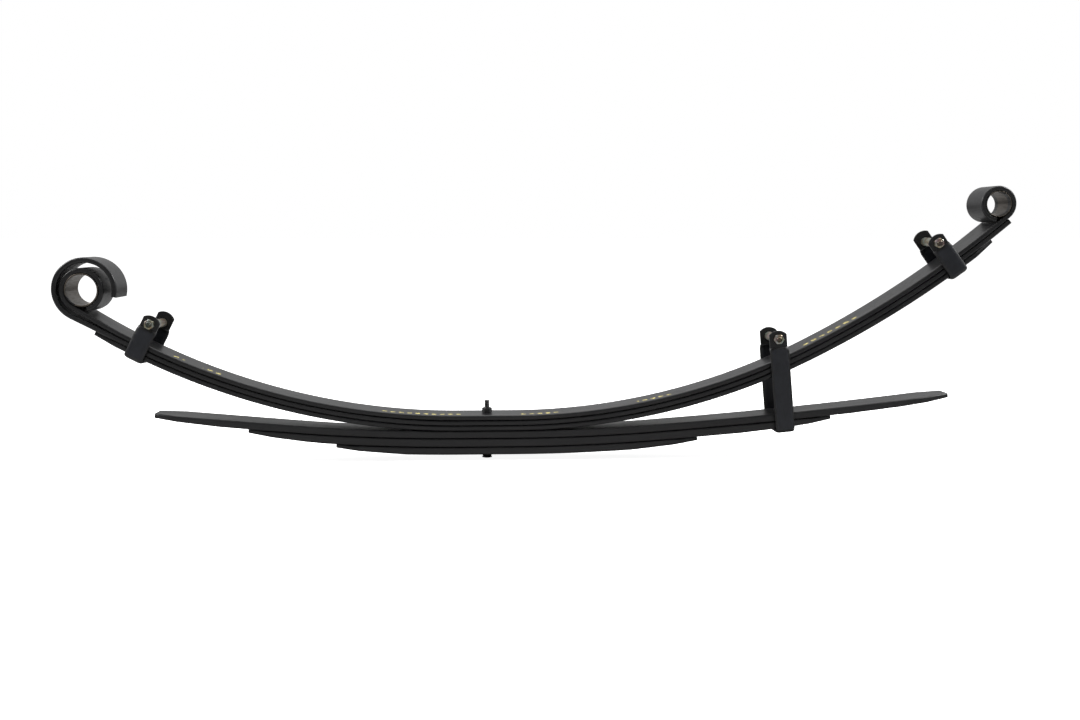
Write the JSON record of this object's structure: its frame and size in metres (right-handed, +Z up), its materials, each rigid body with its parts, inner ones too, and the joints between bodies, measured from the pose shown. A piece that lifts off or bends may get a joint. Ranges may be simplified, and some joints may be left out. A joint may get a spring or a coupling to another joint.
{
  "type": "leaf spring",
  "caption": "Multi-leaf rear spring with rolled eyes, a wrapped front eye, thick helper leaves under the long leaves, sleeved rebound clips and a centre bolt.",
  "frame": {"origin": "on the centre bolt's axis at the underside of the lowest leaf, where the spring is clamped to the axle's pad", "axes": "+X along the spring towards the rear eye, Y across the leaves, +Z up towards the vehicle"},
  "size_m": [1.4024, 0.0791, 0.4023],
  "materials": {
    "leaf_paint": "satin black paint over rolled spring steel",
    "clip_paint": "satin black paint on pressed steel strap",
    "black_fastener": "black painted bolt with an open thread",
    "bare_steel": "bare scratched steel inside the eye",
    "zinc": "zinc plated, slightly yellow passivated",
    "sleeve_rubber": "smooth black rubber sleeve with a dull sheen"
  },
  "bodies": {
    "seat": {"main_leaf": "leaf_paint", "second_leaf": "leaf_paint", "third_leaf": "leaf_paint", "upper_helper_leaf": "leaf_paint", "middle_helper_leaf": "leaf_paint", "lower_helper_leaf": "leaf_paint", "centre_bolt": "black_fastener", "centre_bolt_nut": "black_fastener", "middle_clip_strap": "clip_paint", "middle_clip_sleeve": "sleeve_rubber", "middle_clip_spacer": "zinc", "middle_clip_bolt": "zinc", "middle_clip_nut": "zinc", "middle_clip_rivet": "clip_paint"},
    "front_end": {"front_eye_liner": "bare_steel", "front_clip_strap": "clip_paint", "front_clip_sleeve": "sleeve_rubber", "front_clip_spacer": "zinc", "front_clip_bolt": "zinc", "front_clip_nut": "zinc", "front_clip_rivet": "clip_paint"},
    "rear_end": {"rear_eye_liner": "bare_steel", "rear_clip_strap": "clip_paint", "rear_clip_sleeve": "sleeve_rubber", "rear_clip_spacer": "zinc", "rear_clip_bolt": "zinc", "rear_clip_nut": "zinc", "rear_clip_rivet": "clip_paint"}
  },
  "joints": [
    {"name": "front_flex", "type": "hinge", "parent": "seat", "child": "front_end", "pos_m": [-0.3, 0, 0.08], "axis": [0, -1, 0], "range_deg": [0, 12], "stiffness_Nm_per_rad": 1750, "deforming": ["main_leaf", "second_leaf", "third_leaf"]},
    {"name": "rear_flex", "type": "hinge", "parent": "seat", "child": "rear_end", "pos_m": [0.33, 0, 0.09], "axis": [0, 1, 0], "range_deg": [0, 12], "stiffness_Nm_per_rad": 1780, "deforming": ["main_leaf", "second_leaf", "third_leaf"]}
  ]
}
